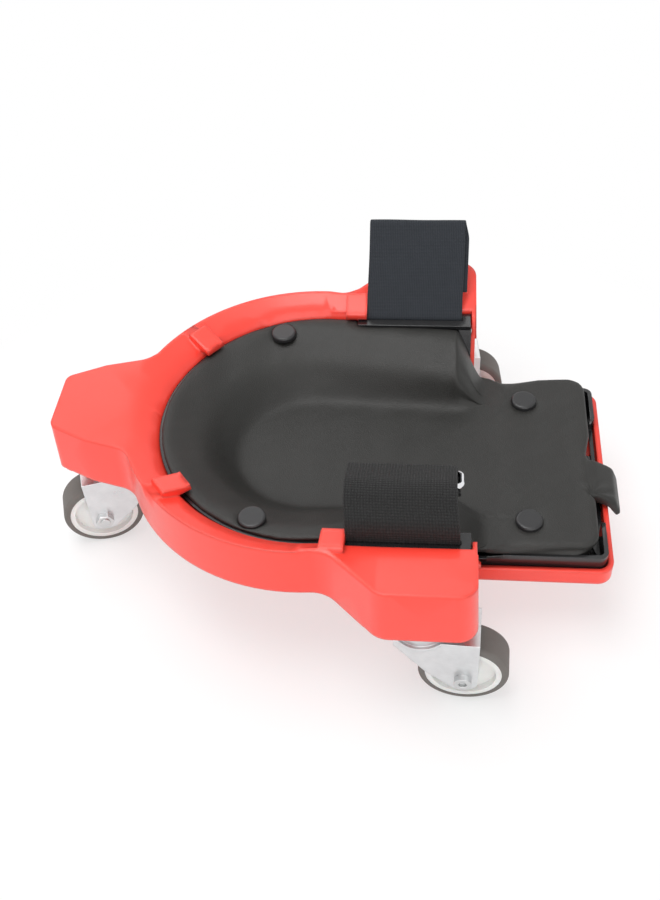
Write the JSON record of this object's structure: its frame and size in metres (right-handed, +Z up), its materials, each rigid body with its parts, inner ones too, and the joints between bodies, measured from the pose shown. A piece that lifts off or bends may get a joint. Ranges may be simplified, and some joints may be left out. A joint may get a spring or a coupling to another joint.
{
  "type": "rolling knee creeper",
  "caption": "Low rolling knee creeper: a moulded keyhole base on swivel casters holds a removable tray with a dished foam knee pad and two hook-and-loop straps.",
  "frame": {"origin": "centre of the whole creeper's plan outline, on the floor", "axes": "+X towards the open shin tail, -X towards the single nose caster, +Y to the side of the leaning strap, +Z up"},
  "size_m": [0.3464, 0.2704, 0.1456],
  "materials": {
    "shell_red": "semi-gloss moulded polypropylene with fine grain",
    "tray_black": "glossy moulded black",
    "pad_foam": "soft closed-cell foam skin with leather grain",
    "plug_black": "satin black",
    "strap_hook": "woven hook-and-loop webbing",
    "strap_elastic": "ribbed elastic webbing",
    "wire_chrome": "bright plated wire",
    "zinc_sheet": "bright zinc-plated pressed sheet",
    "zinc_screw": "zinc-plated",
    "ball_steel": "polished steel",
    "hub_white": "white moulded nylon",
    "tyre_grey": "matt grey-brown rubber tread"
  },
  "bodies": {
    "base": {"base_shell": "shell_red", "knee_tray": "tray_black", "knee_pad": "pad_foam", "pad_plugs": "plug_black", "strap_left": "strap_hook", "strap_right": "strap_elastic", "strap_ring": "wire_chrome", "nose_plate": "zinc_sheet", "nose_screws": "zinc_screw", "nose_pin": "zinc_sheet", "nose_balls": "ball_steel", "left_plate": "zinc_sheet", "left_screws": "zinc_screw", "left_pin": "zinc_sheet", "left_balls": "ball_steel", "right_plate": "zinc_sheet", "right_screws": "zinc_screw", "right_pin": "zinc_sheet", "right_balls": "ball_steel"},
    "nose_swivel": {"nose_fork": "zinc_sheet", "nose_axle": "zinc_screw", "nose_nut": "zinc_screw", "nose_sleeve": "zinc_screw"},
    "nose_wheel": {"nose_hub": "hub_white", "nose_tyre": "tyre_grey"},
    "left_swivel": {"left_fork": "zinc_sheet", "left_axle": "zinc_screw", "left_nut": "zinc_screw", "left_sleeve": "zinc_screw"},
    "left_wheel": {"left_hub": "hub_white", "left_tyre": "tyre_grey"},
    "right_swivel": {"right_fork": "zinc_sheet", "right_axle": "zinc_screw", "right_nut": "zinc_screw", "right_sleeve": "zinc_screw"},
    "right_wheel": {"right_hub": "hub_white", "right_tyre": "tyre_grey"}
  },
  "joints": [
    {"name": "nose_swivel_joint", "type": "hinge", "parent": "base", "child": "nose_swivel", "pos_m": [-0.126, 0, 0.062], "axis": [0, 0, 1], "continuous": true},
    {"name": "nose_wheel_joint", "type": "hinge", "parent": "nose_swivel", "child": "nose_wheel", "pos_m": [-0.14883, -0.00742, 0.025], "axis": [0.309, -0.9511, 0], "continuous": true},
    {"name": "left_swivel_joint", "type": "hinge", "parent": "base", "child": "left_swivel", "pos_m": [0.057, -0.111, 0.062], "axis": [0, 0, 1], "continuous": true},
    {"name": "left_wheel_joint", "type": "hinge", "parent": "left_swivel", "child": "left_wheel", "pos_m": [0.08098, -0.11205, 0.025], "axis": [0.0436, 0.999, 0], "continuous": true},
    {"name": "right_swivel_joint", "type": "hinge", "parent": "base", "child": "right_swivel", "pos_m": [0.057, 0.111, 0.062], "axis": [0, 0, 1], "continuous": true},
    {"name": "right_wheel_joint", "type": "hinge", "parent": "right_swivel", "child": "right_wheel", "pos_m": [0.08087, 0.11351, 0.025], "axis": [-0.1045, 0.9945, 0], "continuous": true}
  ]
}
